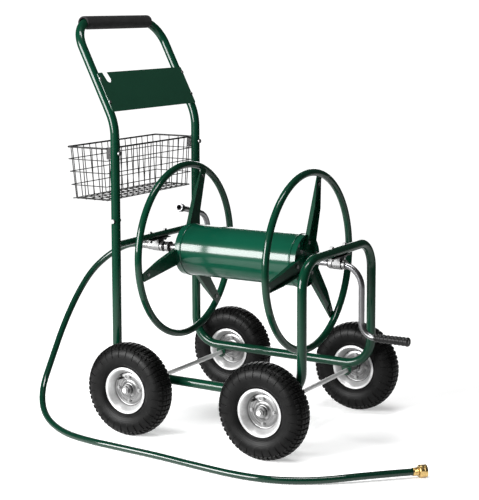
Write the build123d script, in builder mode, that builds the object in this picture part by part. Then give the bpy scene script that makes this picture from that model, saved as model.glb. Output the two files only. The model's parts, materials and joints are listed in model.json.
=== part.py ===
from build123d import *
import math
import os

os.makedirs("parts", exist_ok=True)

# Garden hose reel cart.  Origin on the floor under the middle of the cart, +X towards the
# crank, +Y to the right-hand side, +Z up.  All sizes in millimetres.

# ---- driving dimensions ----
half_length = 471.0        # basket back and crank grip end, each side of the origin
tyre_od = 254.0
tyre_width = 70.0
wheelbase = 417.4
track = 538.0
cart_x = -20.0             # middle of the wheelbase

frame_od = 25.4            # legs, rails, hoop and handle
frame_wall = 1.5
frame_half_width = 204.0   # tube centres
bend_r = 76.0
rail_z = 150.0
leg_x = -316.0
hoop_x = 263.5
hoop_top_z = 507.0
hoop_joint_z = 431.0
leg_joint_z = 600.0
joint_bolt_z = 571.0

cross_tube_od = 19.0
cross_tube_z = 504.0

lean_bend_z = 838.0        # where the handle starts to lean back
lean_angle = 26.7          # degrees from vertical
lean_bend_r = 150.0
lean_length = 307.7        # from the bend to the grip bar
grip_half_length = 152.0
grip_od = 37.0

plate_half_width = 209.0
plate_low, plate_high = 31.0, 148.0      # distances along the leaning legs
plate_thick = 1.6
slot_width = 22.0
slot_depth = 31.0
screw_y = 205.0
screw_stations = (60.5, 131.0)
clip_bolt_z = 758.0
clip_depth = 9.0

reel_x = -21.0             # middle of the reel
reel_z = 472.5
ring_offset = 196.8        # ring planes from the middle of the reel
ring_r = 239.8
ring_tube_r = 9.8
drum_r = 72.0
drum_half = 191.0
web_in, web_out = 185.0, 187.0           # spoke webs, from the middle of the reel
spoke_angles = (19.0, 139.0, 259.0)      # from +Z towards +Y
spoke_depth = 12.0
shaft_r = 8.25
shaft_bore_r = 6.0

crank_x = 333.0
crank_z = 285.0
crank_top_bend_r = 58.0
crank_low_bend_r = 38.0
crank_pin_r = 4.0
grip_x = 371.0

outlet_x = -245.0
outlet_tilt = 14.5         # degrees the outlet leans below +Y
outlet_bend_r = 56.5
outlet_reach = 90.0
outlet_pipe_r = 8.0

axle_r = 6.35
running_gap = 0.05         # radial clearance of every running fit
rim_lip_r = 63.4
rim_half_width = 24.6
bead_r = 51.0
bearing_r = 14.3
bearing_width = 8.0
bearing_in = 6.0           # inner face of a bearing from the wheel's middle plane

basket_top_z = 770.0
basket_depth = 142.0
basket_half_width = 217.0
basket_front_x = -336.0
basket_back_x = -half_length + 2.5
basket_taper_x = 12.0
basket_taper_y = 8.0
basket_rim_d = 5.0
wire_d = 2.6

hose_r = 9.0
hose_start_x = -365.0

# ---- values that follow ----
frame_r = frame_od / 2
axle_z = tyre_od / 2
front_axle_x = cart_x + wheelbase / 2
rear_axle_x = cart_x - wheelbase / 2
lean = math.radians(lean_angle)
lean_dir = Vector(-math.sin(lean), 0, math.cos(lean))
lean_normal = Vector(math.cos(lean), 0, math.sin(lean))
lean_foot = Vector(leg_x, 0, lean_bend_z)
reel_axis = Axis((0, 0, reel_z), (1, 0, 0))
reel_half_plane = Plane(origin=(0, 0, reel_z), x_dir=(1, 0, 0), z_dir=(0, -1, 0))
lean_plane = Plane(origin=lean_foot, x_dir=(0, 1, 0), z_dir=lean_normal)


def save(node, name):
    """Label a finished sub-part and write it to its own STEP file."""
    node.part.label = name
    export_step(node.part, f"parts/{name}.step")


def tube_section(path, outer_r, inner_r=0.0):
    """Sketch a round or ring-shaped section at the start of a path and sweep it along."""
    with BuildSketch(Plane(origin=path @ 0, z_dir=path % 0)) as section:
        Circle(outer_r)
        if inner_r:
            Circle(inner_r, mode=Mode.SUBTRACT)
    sweep(section.sketch, path=path)


def rod(start, end, radius, mode=Mode.ADD):
    """Add or cut a straight round rod between two points."""
    run = Vector(*end) - Vector(*start)
    with BuildSketch(Plane(origin=start, z_dir=run)) as section:
        Circle(radius)
    extrude(section.sketch, amount=run.length, mode=mode)


def hexagon(start, end, across_flats):
    """Add a hexagonal prism between two points, with no hole."""
    run = Vector(*end) - Vector(*start)
    with BuildSketch(Plane(origin=start, z_dir=run)) as section:
        RegularPolygon(across_flats / 2, 6, major_radius=False)
    extrude(section.sketch, amount=run.length)


def polar(radius, angle_deg):
    """The y and z of a point on the reel, with the angle from +Z towards +Y."""
    turn = math.radians(angle_deg)
    return radius * math.sin(turn), reel_z + radius * math.cos(turn)


# ---- frame: two side frames, front hoop, rear cross tube ----
for side, name in ((-1, "left_side_frame"), (1, "right_side_frame")):
    with BuildPart() as side_frame:
        with BuildLine(Plane.XZ.offset(-side * frame_half_width)) as side_path:
            FilletPolyline(
                (leg_x, leg_joint_z), (leg_x, rail_z), (hoop_x, rail_z), (hoop_x, hoop_joint_z),
                radius=bend_r,
            )
        tube_section(side_path.line, frame_r, frame_r - frame_wall)
        y = side * frame_half_width
        rod((leg_x, y - 20, joint_bolt_z), (leg_x, y + 20, joint_bolt_z), 3.2, Mode.SUBTRACT)
    save(side_frame, name)

bearing_bolt_y = 37.0
with BuildPart() as front_hoop:
    with BuildLine(Plane.YZ.offset(hoop_x)) as hoop_path:
        FilletPolyline(
            (-frame_half_width, hoop_joint_z), (-frame_half_width, hoop_top_z),
            (frame_half_width, hoop_top_z), (frame_half_width, hoop_joint_z),
            radius=bend_r - 0.5,
        )
    tube_section(hoop_path.line, frame_r, frame_r - frame_wall)
    for y in (-bearing_bolt_y, bearing_bolt_y):
        rod((hoop_x, y, hoop_top_z - 20), (hoop_x, y, hoop_top_z + 20), 3.2, Mode.SUBTRACT)
save(front_hoop, "front_hoop")

cross_r = cross_tube_od / 2
leg_side_y = frame_half_width - frame_r
with BuildPart() as rear_cross_tube:
    rod((leg_x, -frame_half_width + 2, cross_tube_z), (leg_x, frame_half_width - 2, cross_tube_z), cross_r)
    for side in (-1, 1):
        leg = (leg_x, side * frame_half_width)
        rod((*leg, cross_tube_z - 30), (*leg, cross_tube_z + 30), frame_r, Mode.SUBTRACT)
    inner = leg_side_y + 5
    rod((leg_x, -inner, cross_tube_z), (leg_x, inner, cross_tube_z), cross_r - frame_wall, Mode.SUBTRACT)
    for y in (-bearing_bolt_y, bearing_bolt_y):
        rod((leg_x, y, cross_tube_z - 15), (leg_x, y, cross_tube_z + 15), 3.2, Mode.SUBTRACT)
save(rear_cross_tube, "rear_cross_tube")

# ---- handle: one bent tube, plugged into the two legs ----
top = lean_foot + lean_dir * lean_length
plug_length = 60.0
plug_r = frame_r - frame_wall - 0.15
with BuildPart() as handle_tube:
    with BuildLine() as handle_path:
        FilletPolyline(
            (leg_x, -frame_half_width, leg_joint_z),
            (leg_x, -frame_half_width, lean_bend_z),
            (top.X, -frame_half_width, top.Z),
            (top.X, frame_half_width, top.Z),
            (leg_x, frame_half_width, lean_bend_z),
            (leg_x, frame_half_width, leg_joint_z),
            radius=[lean_bend_r, bend_r, bend_r, lean_bend_r],
        )
    tube_section(handle_path.line, frame_r, frame_r - frame_wall)
    for side in (-1, 1):
        y = side * frame_half_width
        rod((leg_x, y, leg_joint_z - plug_length), (leg_x, y, leg_joint_z), plug_r)
        rod((leg_x, y, leg_joint_z), (leg_x, y, leg_joint_z + 12), frame_r - 0.5)
        rod((leg_x, y, leg_joint_z - plug_length - 1), (leg_x, y, leg_joint_z + 13), 9.5, Mode.SUBTRACT)
        rod((leg_x, y - 20, joint_bolt_z), (leg_x, y + 20, joint_bolt_z), 3.2, Mode.SUBTRACT)
        rod((leg_x - 20, y, clip_bolt_z), (leg_x + 20, y, clip_bolt_z), 3.2, Mode.SUBTRACT)
        for station in screw_stations:
            screw_line = lean_foot + lean_dir * station + Vector(0, side * screw_y, 0)
            rod(screw_line, screw_line + lean_normal * 20, 2.2, Mode.SUBTRACT)
save(handle_tube, "handle_tube")

straight_half = frame_half_width - bend_r
grip_turn = math.degrees((grip_half_length - straight_half) / bend_r)
with BuildPart() as foam_grip:
    with BuildLine(lean_plane) as grip_path:
        corner = lean_length - bend_r
        CenterArc((-straight_half, corner), bend_r, 90, grip_turn)
        Line((-straight_half, lean_length), (straight_half, lean_length))
        CenterArc((straight_half, corner), bend_r, 90 - grip_turn, grip_turn)
    tube_section(grip_path.wires()[0], grip_od / 2, frame_r)
save(foam_grip, "foam_grip")

# ---- hose hanger plate on the leaning legs ----
plate_mid = (plate_low + plate_high) / 2
slot_top = (-175.0, plate_high + 4)
slot_foot = (-168.0, plate_high - slot_depth + slot_width / 2)
slot_mid = ((slot_top[0] + slot_foot[0]) / 2, (slot_top[1] + slot_foot[1]) / 2)
slot_turn = math.degrees(math.atan2(slot_top[1] - slot_foot[1], slot_top[0] - slot_foot[0]))
with BuildPart() as back_plate:
    with BuildSketch(lean_plane.offset(frame_r)):
        with Locations((0, plate_mid)):
            RectangleRounded(2 * plate_half_width, plate_high - plate_low, 4)
        with Locations(Location(slot_mid, slot_turn)):
            SlotCenterToCenter(math.dist(slot_top, slot_foot), slot_width, mode=Mode.SUBTRACT)
        with Locations(*[(side * screw_y, s) for side in (-1, 1) for s in screw_stations]):
            Circle(2.2, mode=Mode.SUBTRACT)
    extrude(amount=plate_thick)
save(back_plate, "back_plate")

with BuildPart() as plate_screws:
    for side in (-1, 1):
        for station in screw_stations:
            seat = lean_foot + lean_dir * station + lean_normal * (frame_r + plate_thick)
            seat = Vector(seat.X, side * screw_y, seat.Z)
            rod(seat, seat + lean_normal * 2.6, 4.6)
            rod(seat - lean_normal * 14, seat, 2.1)
    fillet(plate_screws.edges().filter_by(GeomType.CIRCLE).filter_by(
        lambda edge: abs((edge.arc_center - lean_foot).dot(lean_normal) - frame_r - plate_thick - 2.6) < 0.01), 1.2)
save(plate_screws, "plate_screws")

# ---- bolts through the legs: handle joints along Y, basket clips along X ----
with BuildPart() as leg_bolts:
    for side in (-1, 1):
        y = side * frame_half_width
        outer, inner = y + side * frame_r, y - side * frame_r
        rod((leg_x, outer, joint_bolt_z), (leg_x, outer + side * 4.5, joint_bolt_z), 6.0)
        rod((leg_x, inner - side * 8, joint_bolt_z), (leg_x, outer, joint_bolt_z), 3.1)
        hexagon((leg_x, inner - side * 5, joint_bolt_z), (leg_x, inner, joint_bolt_z), 10)
        rod((leg_x + frame_r, y, clip_bolt_z), (leg_x + frame_r + 4.5, y, clip_bolt_z), 6.0)
        rod((leg_x - frame_r - 3, y, clip_bolt_z), (leg_x + frame_r, y, clip_bolt_z), 3.1)
save(leg_bolts, "leg_bolts")

# ---- axles, the tabs that hold them, spacers and nuts ----
tab_thick = 4.0
tab_y = frame_half_width
axle_half_length = 297.0
spacer_r = 9.5
wheel_mid_y = track / 2
bearing_out = bearing_in + bearing_width
axial_gap = 0.3
with BuildPart() as axle_brackets:
    for x in (front_axle_x, rear_axle_x):
        for side in (-1, 1):
            with BuildSketch(Plane.XZ.offset(-side * tab_y - tab_thick / 2)):
                with Locations((x, axle_z)):
                    Circle(14)
                with Locations((x, (axle_z + rail_z) / 2)):
                    Rectangle(28, rail_z - axle_z)
                with Locations((x, axle_z)):
                    Circle(axle_r, mode=Mode.SUBTRACT)
            extrude(amount=tab_thick)
            rail_y = side * frame_half_width
            rod((x - 40, rail_y, rail_z), (x + 40, rail_y, rail_z), frame_r, Mode.SUBTRACT)
save(axle_brackets, "axle_brackets")

for name, x in (("front_axle", front_axle_x), ("rear_axle", rear_axle_x)):
    with BuildPart() as axle:
        rod((x, -axle_half_length, axle_z), (x, axle_half_length, axle_z), axle_r)
        chamfer(axle.edges().filter_by(GeomType.CIRCLE), 1.0)
    save(axle, name)

with BuildPart() as axle_spacers:
    for x in (front_axle_x, rear_axle_x):
        for side in (-1, 1):
            start = (x, side * (tab_y + tab_thick / 2), axle_z)
            end = (x, side * (wheel_mid_y - bearing_out - axial_gap), axle_z)
            rod(start, end, spacer_r)
            rod(start, end, axle_r, Mode.SUBTRACT)
save(axle_spacers, "axle_spacers")

nut_y = wheel_mid_y + bearing_out + axial_gap
with BuildPart() as axle_nuts:
    for x in (front_axle_x, rear_axle_x):
        for side in (-1, 1):
            rod((x, side * nut_y, axle_z), (x, side * (nut_y + 2), axle_z), 13)
            hexagon((x, side * (nut_y + 2), axle_z), (x, side * (nut_y + 9), axle_z), 19)
            rod((x, side * (nut_y - 1), axle_z), (x, side * (nut_y + 10), axle_z), axle_r, Mode.SUBTRACT)
save(axle_nuts, "axle_nuts")

# ---- four wheels: tyre, inner tube, two half rims, bearings, rim bolts ----
rim_bolt_r = 33.0
rim_bolt_count = 4
valve_r = 3.5
valve_root_r, valve_elbow_r = 62.0, 37.0
stem_out, stem_up = -math.sin(math.radians(40)), math.cos(math.radians(40))
tread_half = tyre_width / 2
sheet = 2.0
corners = (
    ("front_left", front_axle_x, -1), ("front_right", front_axle_x, 1),
    ("rear_left", rear_axle_x, -1), ("rear_right", rear_axle_x, 1),
)
for corner_name, x, side in corners:
    mid = side * wheel_mid_y
    # In this plane the first coordinate is outwards along the axle and the second is the radius.
    wheel_plane = Plane(origin=(x, mid, axle_z), x_dir=(0, side, 0), z_dir=(side, 0, 0))
    wheel_axis = Axis((x, mid, axle_z), (0, 1, 0))

    with BuildPart() as tyre:
        with BuildSketch(wheel_plane):
            with BuildLine():
                ThreePointArc((22.0, 64.5), (tread_half, 93.0), (27.5, 119.0))
                ThreePointArc((27.5, 119.0), (0.0, tyre_od / 2), (-27.5, 119.0))
                ThreePointArc((-27.5, 119.0), (-tread_half, 93.0), (-22.0, 64.5))
                Polyline((-22.0, 64.5), (-22.0, bead_r), (-14.0, bead_r), (-15.0, 60.0))
                ThreePointArc((-15.0, 60.0), (-29.0, 93.0), (-22.0, 113.0))
                ThreePointArc((-22.0, 113.0), (0.0, 118.5), (22.0, 113.0))
                ThreePointArc((22.0, 113.0), (29.0, 93.0), (15.0, 60.0))
                Polyline((15.0, 60.0), (14.0, bead_r), (22.0, bead_r), (22.0, 64.5))
            make_face()
        revolve(axis=wheel_axis)
    save(tyre, f"{corner_name}_tyre")

    with BuildPart() as inner_tube:
        with BuildSketch(wheel_plane):
            with Locations((0, 88.0)):
                Ellipse(25.0, 27.0)
                Ellipse(23.8, 25.8, mode=Mode.SUBTRACT)
        revolve(axis=wheel_axis)
        # The valve stem leaves the tube inwards and bends out through the rim's opening.
        valve_root = (x + stem_out * valve_root_r, mid, axle_z + stem_up * valve_root_r)
        valve_elbow = (x + stem_out * valve_elbow_r, mid, axle_z + stem_up * valve_elbow_r)
        with BuildLine() as stem_path:
            FilletPolyline(
                valve_root, valve_elbow, (valve_elbow[0], mid + side * 22.0, valve_elbow[2]), radius=9,
            )
        tube_section(stem_path.line, valve_r)
    save(inner_tube, f"{corner_name}_inner_tube")

    with BuildPart() as rims:
        with BuildSketch(wheel_plane):
            with BuildLine():
                Polyline(
                    (0.4, 22.0), (0.4, bead_r - 5), (rim_half_width - sheet, bead_r - 1),
                    (rim_half_width - sheet, rim_lip_r - 1), (rim_half_width - 1, rim_lip_r),
                    (rim_half_width, rim_lip_r - 1), (rim_half_width, bead_r - 1.5 - sheet),
                    (0.4 + sheet, bead_r - 5.5 - sheet), (0.4 + sheet, 24.0), (7.0, 17.5),
                    (bearing_out - 1, 16.5), (bearing_out - 1, bearing_r), (bearing_in, bearing_r),
                    (bearing_in, 12.0), (bearing_in - sheet, 12.0), (bearing_in - sheet, 16.0),
                    close=True,
                )
            make_face()
        revolve(axis=wheel_axis)
        mirror(about=Plane(origin=(x, mid, axle_z), z_dir=(0, 1, 0)))
        for index in range(rim_bolt_count):
            turn = math.radians(90 * index)
            hole = (x + rim_bolt_r * math.sin(turn), axle_z + rim_bolt_r * math.cos(turn))
            rod((hole[0], mid - 6, hole[1]), (hole[0], mid + 6, hole[1]), 3.2, Mode.SUBTRACT)
        vx, vz = valve_elbow[0], valve_elbow[2]
        rod((vx, mid - side * 3, vz), (vx, mid + side * 12, vz), valve_r + 3, Mode.SUBTRACT)
        rod(valve_elbow, valve_root, valve_r + 1, Mode.SUBTRACT)
    save(rims, f"{corner_name}_rims")

    with BuildPart() as bearings:
        for face in (-1, 1):
            start = (x, mid + face * bearing_in, axle_z)
            end = (x, mid + face * bearing_out, axle_z)
            shield = (x, mid + face * (bearing_out - 1), axle_z)
            rod(start, end, bearing_r)
            rod(shield, end, bearing_r - 2.5, Mode.SUBTRACT)
            rod(shield, end, axle_r + 2.5)
            rod(start, end, axle_r + running_gap, Mode.SUBTRACT)
    save(bearings, f"{corner_name}_bearings")

    with BuildPart() as rim_bolts:
        for index in range(rim_bolt_count):
            turn = math.radians(90 * index)
            bx, bz = x + rim_bolt_r * math.sin(turn), axle_z + rim_bolt_r * math.cos(turn)
            face = 0.4 + sheet
            rod((bx, mid - face - 6, bz), (bx, mid + face, bz), 3.1)
            hexagon((bx, mid + side * face, bz), (bx, mid + side * (face + 4), bz), 10)
            hexagon((bx, mid - side * face, bz), (bx, mid - side * (face + 5), bz), 10)
    save(rim_bolts, f"{corner_name}_rim_bolts")

# ---- wire basket hung behind the legs ----
basket_floor_z = basket_top_z - basket_depth
hoop_levels = (736.0, 701.0, 664.0)
long_wires = 15
end_wires = 4


def basket_corner(z, back, side):
    """A point on the tapering corner line of the basket at height z."""
    drop = (basket_top_z - z) / basket_depth
    front_x, back_x = basket_front_x - drop * basket_taper_x / 2, basket_back_x + drop * basket_taper_x
    return back_x if back else front_x, side * (basket_half_width - drop * basket_taper_y), z


def spread(count, half):
    """Evenly spaced places from -half to half, with half a space left at each end."""
    return [half * ((2 * index + 1) / count - 1) for index in range(count)]


with BuildPart() as basket_rim:
    with BuildLine(Plane.XY.offset(basket_top_z)) as rim_path:
        FilletPolyline(
            (basket_back_x, -basket_half_width), (basket_front_x, -basket_half_width),
            (basket_front_x, basket_half_width), (basket_back_x, basket_half_width),
            radius=6, close=True,
        )
    tube_section(rim_path.wires()[0], basket_rim_d / 2)
save(basket_rim, "basket_rim")

wire_r = wire_d / 2
under_rim_z = basket_top_z - basket_rim_d / 2
with BuildPart() as basket_long_walls:
    for back in (True, False):
        for y in spread(long_wires, basket_half_width):
            high, low = basket_corner(under_rim_z, back, 1), basket_corner(basket_floor_z, back, 1)
            rod((high[0], y, high[2]), (low[0], y * low[1] / high[1], low[2]), wire_r)
        for z in hoop_levels:
            x, y, _ = basket_corner(z, back, 1)
            step = wire_r if back else -wire_r
            rod((x - step, -y, z), (x - step, y, z), wire_r)
save(basket_long_walls, "basket_long_walls")

with BuildPart() as basket_end_walls:
    for side in (-1, 1):
        for share in spread(end_wires, 0.5):
            high_b, high_f = basket_corner(under_rim_z, True, side), basket_corner(under_rim_z, False, side)
            low_b, low_f = basket_corner(basket_floor_z, True, side), basket_corner(basket_floor_z, False, side)
            high_x = (high_b[0] + high_f[0]) / 2 + share * (high_f[0] - high_b[0])
            low_x = (low_b[0] + low_f[0]) / 2 + share * (low_f[0] - low_b[0])
            rod((high_x, high_b[1], high_b[2]), (low_x, low_b[1], low_b[2]), wire_r)
        for z in hoop_levels:
            back_x, y, _ = basket_corner(z, True, side)
            front_x = basket_corner(z, False, side)[0]
            out = y + side * wire_r
            rod((back_x, out, z), (front_x, out, z), wire_r)
save(basket_end_walls, "basket_end_walls")

floor_back, floor_y, _ = basket_corner(basket_floor_z, True, 1)
floor_front = basket_corner(basket_floor_z, False, 1)[0]
floor_z = basket_floor_z - wire_r
with BuildPart() as basket_floor:
    for y in spread(long_wires, floor_y):
        rod((floor_back, y, floor_z), (floor_front, y, floor_z), wire_r)
    for share in spread(end_wires, 0.5):
        x = (floor_back + floor_front) / 2 + share * (floor_front - floor_back)
        rod((x, -floor_y, floor_z - wire_r), (x, floor_y, floor_z - wire_r), wire_r)
    for x in (floor_back, floor_front):
        rod((x, -floor_y, floor_z - wire_r), (x, floor_y, floor_z - wire_r), wire_r)
    for y in (-floor_y, floor_y):
        rod((floor_back, y, floor_z), (floor_front, y, floor_z), wire_r)
save(basket_floor, "basket_floor")

clip_face_x = leg_x - frame_r
with BuildPart() as basket_clips:
    for side in (-1, 1):
        y = side * frame_half_width
        with BuildSketch(Plane.XY.offset(clip_bolt_z - 17)):
            with Locations((clip_face_x - clip_depth / 2 + 3, y)):
                Rectangle(clip_depth + 6, 20)
        extrude(amount=33)
        rod((leg_x, y, clip_bolt_z - 40), (leg_x, y, clip_bolt_z + 40), frame_r, Mode.SUBTRACT)
        rod((leg_x - 40, y, clip_bolt_z), (leg_x, y, clip_bolt_z), 3.2, Mode.SUBTRACT)
        rim = (basket_front_x, y, basket_top_z)
        rod((rim[0], y - 15, rim[2]), (rim[0], y + 15, rim[2]), basket_rim_d / 2, Mode.SUBTRACT)
save(basket_clips, "basket_clips")

# ---- bearings that carry the reel, hung under the two cross tubes ----
bush_r = 12.0
strap_thick = 2.5
bearing_length = 24.0
ear_half = 50.0
with BuildPart() as bearing_bolts:
    for x, tube_z, tube_r in ((hoop_x, hoop_top_z, frame_r), (leg_x, cross_tube_z, cross_r)):
        under = tube_z - tube_r
        for y in (-bearing_bolt_y, bearing_bolt_y):
            rod((x, y, under - strap_thick - 8), (x, y, tube_z + tube_r), 3.1)
            hexagon((x, y, tube_z + tube_r), (x, y, tube_z + tube_r + 4.5), 11)
            hexagon((x, y, under - strap_thick - 6), (x, y, under - strap_thick), 11)
save(bearing_bolts, "bearing_bolts")

for name, x, tube_z, tube_r in (
    ("front_bearing", hoop_x, hoop_top_z, frame_r), ("rear_bearing", leg_x, cross_tube_z, cross_r),
):
    under = tube_z - tube_r
    with BuildPart() as bearing:
        with BuildSketch(Plane.YZ.offset(x - bearing_length / 2)):
            with Locations((0, reel_z)):
                Circle(bush_r + strap_thick)
            with Locations((0, (reel_z + under) / 2)):
                Rectangle(2 * (bush_r + strap_thick), under - reel_z)
            with Locations((0, under - strap_thick / 2)):
                Rectangle(2 * ear_half, strap_thick)
            with Locations((0, reel_z)):
                Circle(bush_r, mode=Mode.SUBTRACT)
            with Locations((0, (reel_z + under) / 2 + 1)):
                Rectangle(2 * bush_r, under - reel_z + 2, mode=Mode.SUBTRACT)
        extrude(amount=bearing_length)
        for y in (-bearing_bolt_y, bearing_bolt_y):
            rod((x, y, under - 10), (x, y, under + 5), 3.2, Mode.SUBTRACT)
    save(bearing, name)

with BuildPart() as bearing_bushes:
    for x, under in ((hoop_x, hoop_top_z - frame_r), (leg_x, cross_tube_z - cross_r)):
        with BuildSketch(Plane.YZ.offset(x - bearing_length / 2)):
            with Locations((0, reel_z)):
                Circle(bush_r)
            with Locations((0, (reel_z + under) / 2)):
                Rectangle(2 * bush_r, under - reel_z)
            with Locations((0, reel_z)):
                Circle(shaft_r + running_gap, mode=Mode.SUBTRACT)
        extrude(amount=bearing_length)
save(bearing_bushes, "bearing_bushes")

# ---- reel: drum, its two end dishes, rings and spokes ----
shell = 1.5
end_floor = web_in - 2.0
hub_sleeve_r = 14.0
hub_sleeve_end = 200.0
with BuildPart() as drum:
    with BuildSketch(reel_half_plane):
        with BuildLine():
            Polyline(
                (reel_x + end_floor, drum_r - shell), (reel_x - end_floor, drum_r - shell),
                (reel_x - end_floor, drum_r), (reel_x - end_floor + 7, drum_r),
            )
            ThreePointArc(
                (reel_x - end_floor + 7, drum_r), (reel_x - end_floor + 10, drum_r + 2),
                (reel_x - end_floor + 13, drum_r),
            )
            Line((reel_x - end_floor + 13, drum_r), (reel_x + end_floor - 13, drum_r))
            ThreePointArc(
                (reel_x + end_floor - 13, drum_r), (reel_x + end_floor - 10, drum_r + 2),
                (reel_x + end_floor - 7, drum_r),
            )
            Polyline(
                (reel_x + end_floor - 7, drum_r), (reel_x + end_floor, drum_r),
                (reel_x + end_floor, drum_r - shell),
            )
        make_face()
    revolve(axis=reel_axis)
save(drum, "drum")

arm_root_r, arm_tip_r = 22.0, 236.0
arm_root_half, arm_tip_half = 25.0, 12.5
flange_end_r = 228.0
flange_full_r = 150.0          # the folded edges keep their full depth up to here
fold = 2.0


def arm_outline(root_r, tip_r, inset, angle):
    """Corners of a tapering spoke from root_r to tip_r, narrowed by inset on each long edge."""
    turn = math.radians(angle)
    corners_out = []
    for r, sign in ((root_r, -1), (tip_r, -1), (tip_r, 1), (root_r, 1)):
        share = (r - arm_root_r) / (arm_tip_r - arm_root_r)
        t = sign * (arm_root_half + (arm_tip_half - arm_root_half) * share - inset)
        corners_out.append((
            r * math.sin(turn) + t * math.cos(turn),
            reel_z + r * math.cos(turn) - t * math.sin(turn),
        ))
    return corners_out


mid_angles = [angle + 60 for angle in spoke_angles]
dish_bolt_rs = (36.0, 62.0)
arm_bolt_r = 50.0
tip_bolt_r = 213.0
bolt_hole_r = 2.6
with BuildPart() as drum_ends:
    for side in (-1, 1):
        floor_x = reel_x + side * end_floor
        with BuildSketch(reel_half_plane):
            with BuildLine():
                Polyline(
                    (floor_x, shaft_r), (floor_x, drum_r), (reel_x + side * drum_half, drum_r),
                    (reel_x + side * drum_half, drum_r - shell), (reel_x + side * web_in, drum_r - shell),
                    (reel_x + side * web_in, hub_sleeve_r), (reel_x + side * hub_sleeve_end, hub_sleeve_r),
                    (reel_x + side * hub_sleeve_end, shaft_r), close=True,
                )
            make_face()
        revolve(axis=reel_axis)
        bolts = [polar(r, angle) for angle in mid_angles for r in dish_bolt_rs]
        bolts += [polar(arm_bolt_r, angle) for angle in spoke_angles]
        for y, z in bolts:
            rod((floor_x - 5, y, z), (floor_x + 5, y, z), bolt_hole_r, Mode.SUBTRACT)
        for angle in spoke_angles:
            with BuildSketch(Plane.YZ.offset(reel_x + side * web_in)) as notch:
                with BuildLine():
                    Polyline(*arm_outline(drum_r - 8, drum_r + 8, -0.3, angle), close=True)
                make_face()
            extrude(amount=side * (drum_half - web_in + 1), mode=Mode.SUBTRACT)
save(drum_ends, "drum_ends")

tab_root_r = 203.0
tab_tip_r = 236.0
tab_half = 10.0
for side, name in ((-1, "rear_ring"), (1, "front_ring")):
    with BuildPart() as ring:
        with BuildSketch(reel_half_plane):
            with Locations((reel_x + side * ring_offset, ring_r)):
                Circle(ring_tube_r)
                Circle(ring_tube_r - frame_wall, mode=Mode.SUBTRACT)
        revolve(axis=reel_axis)
        for angle in spoke_angles:
            turn = math.radians(angle)
            out = (math.sin(turn), math.cos(turn))
            across = (math.cos(turn), -math.sin(turn))
            with BuildSketch(Plane.YZ.offset(reel_x + side * web_out)) as tab:
                with BuildLine():
                    Polyline(*[
                        (r * out[0] + t * across[0], reel_z + r * out[1] + t * across[1])
                        for r, t in (
                            (tab_root_r, -tab_half), (tab_tip_r, -tab_half),
                            (tab_tip_r, tab_half), (tab_root_r, tab_half),
                        )
                    ], close=True)
                make_face()
                with Locations(polar(tip_bolt_r, angle)):
                    Circle(bolt_hole_r, mode=Mode.SUBTRACT)
            extrude(amount=side * 2.5)
    save(ring, name)

for side, name in ((-1, "rear_spokes"), (1, "front_spokes")):
    with BuildPart() as spokes:
        for angle in spoke_angles:
            with BuildSketch(Plane.YZ.offset(reel_x + side * web_in)):
                with BuildLine():
                    Polyline(*arm_outline(arm_root_r, arm_tip_r, 0, angle), close=True)
                make_face()
                with Locations(polar(tip_bolt_r, angle), polar(arm_bolt_r, angle)):
                    Circle(bolt_hole_r, mode=Mode.SUBTRACT)
            extrude(amount=side * (web_out - web_in))
            with BuildSketch(Plane.YZ.offset(reel_x + side * web_out)):
                with BuildLine():
                    Polyline(*arm_outline(arm_root_r + 3, flange_end_r, 0, angle), close=True)
                make_face()
                with BuildLine():
                    Polyline(*arm_outline(arm_root_r, flange_end_r + 5, fold, angle), close=True)
                make_face(mode=Mode.SUBTRACT)
            extrude(amount=side * (spoke_depth - (web_out - web_in)))
            turn = math.radians(angle)
            out = Vector(0, math.sin(turn), math.cos(turn))
            along = Vector(side, 0, 0)
            with BuildSketch(Plane(origin=(reel_x, 0, reel_z), x_dir=along, z_dir=along.cross(out))):
                with BuildLine():
                    Polyline(
                        (web_in + spoke_depth, flange_full_r), (web_out + 0.5, flange_end_r + 2),
                        (web_in + spoke_depth + 5, flange_end_r + 2),
                        (web_in + spoke_depth + 5, flange_full_r), close=True,
                    )
                make_face()
            extrude(amount=30, both=True, mode=Mode.SUBTRACT)
    save(spokes, name)

with BuildPart() as reel_bolts:
    for side in (-1, 1):
        seats = [(polar(tip_bolt_r, angle), web_in, web_out + 2.5) for angle in spoke_angles]
        seats += [(polar(arm_bolt_r, angle), end_floor, web_out) for angle in spoke_angles]
        seats += [(polar(r, angle), end_floor, web_in) for angle in mid_angles for r in dish_bolt_rs]
        for (y, z), low, high in seats:
            low_x, high_x = reel_x + side * low, reel_x + side * high
            rod((low_x - side * 3, y, z), (high_x, y, z), 2.5)
            rod((high_x, y, z), (high_x + side * 2.8, y, z), 5.0)
            rod((low_x - side * 2.8, y, z), (low_x, y, z), 4.5)
save(reel_bolts, "reel_bolts")

# ---- hollow shaft, water outlet and crank ----
shaft_rear_x = -334.0
shaft_front_x = reel_x + 190.0
shaft_bore_end = -236.0
with BuildPart() as reel_shaft:
    rod((shaft_rear_x, 0, reel_z), (shaft_front_x, 0, reel_z), shaft_r)
    rod((shaft_rear_x, 0, reel_z), (shaft_bore_end, 0, reel_z), shaft_bore_r, Mode.SUBTRACT)
    outlet_turn = math.radians(outlet_tilt)
    outlet_out = Vector(0, math.cos(outlet_turn), -math.sin(outlet_turn))
    outlet_up = Vector(0, math.sin(outlet_turn), math.cos(outlet_turn))
    hub = Vector(outlet_x, 0, reel_z)
    rod(hub, hub + outlet_out * 12, 5.0, Mode.SUBTRACT)
save(reel_shaft, "reel_shaft")

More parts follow.
